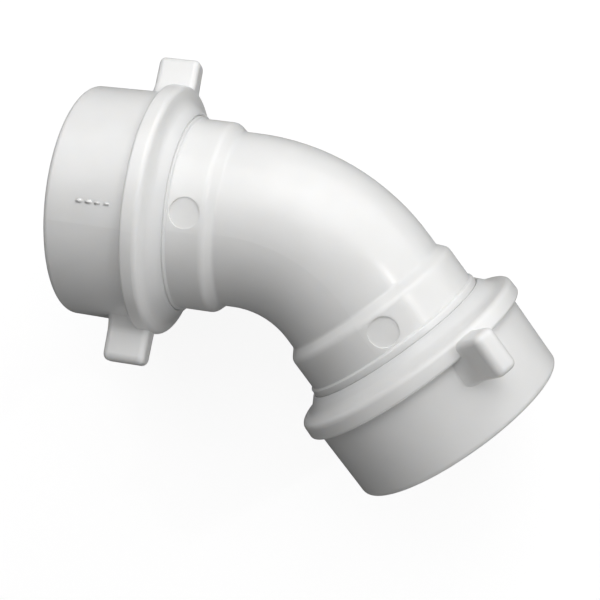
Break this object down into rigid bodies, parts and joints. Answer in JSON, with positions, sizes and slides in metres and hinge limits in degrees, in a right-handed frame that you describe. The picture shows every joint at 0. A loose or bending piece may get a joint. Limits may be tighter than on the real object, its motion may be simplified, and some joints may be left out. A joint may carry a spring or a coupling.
{
  "type": "sewer hose elbow coupler",
  "caption": "White moulded pipe bend with a winged slip nut and a tapered washer at each end, for joining waste hose or pipe on a caravan.",
  "frame": {"origin": "centre of the pipe stop inside socket A", "axes": "-X out of socket A along its pipe, the bend lies in the XY plane and turns end B from +X towards -Y, +Z square to the bend's plane"},
  "size_m": [0.1198, 0.0996, 0.0642],
  "materials": {
    "white_plastic": "gloss",
    "washer": "matte"
  },
  "bodies": {
    "elbow": {"elbow_body": "white_plastic"},
    "washer_a": {"tapered_washer_a": "washer"},
    "nut_a": {"slip_nut_a": "white_plastic"},
    "washer_b": {"tapered_washer_b": "washer"},
    "nut_b": {"slip_nut_b": "white_plastic"}
  },
  "joints": [
    {"name": "washer_a_travel", "type": "slide", "parent": "elbow", "child": "washer_a", "axis": [-1, 0, 0], "range_m": [0, 0.01106]},
    {"name": "nut_a_turn", "type": "hinge", "parent": "washer_a", "child": "nut_a", "pos_m": [0, 0, 0], "axis": [-1, 0, 0], "range_deg": [0, 1800]},
    {"name": "washer_b_travel", "type": "slide", "parent": "elbow", "child": "washer_b", "axis": [0.6756, -0.7373, 0], "range_m": [-0.0013, 0.00979]},
    {"name": "nut_b_turn", "type": "hinge", "parent": "washer_b", "child": "nut_b", "pos_m": [0.0377, -0.01659, 0], "axis": [0.6756, -0.7373, 0], "range_deg": [-208, 1592]}
  ],
  "couplings": [
    {"joint": "washer_a_travel", "follows": "nut_a_turn", "m_per_rad": 0.00035152},
    {"joint": "washer_b_travel", "follows": "nut_b_turn", "m_per_rad": 0.00035152}
  ]
}
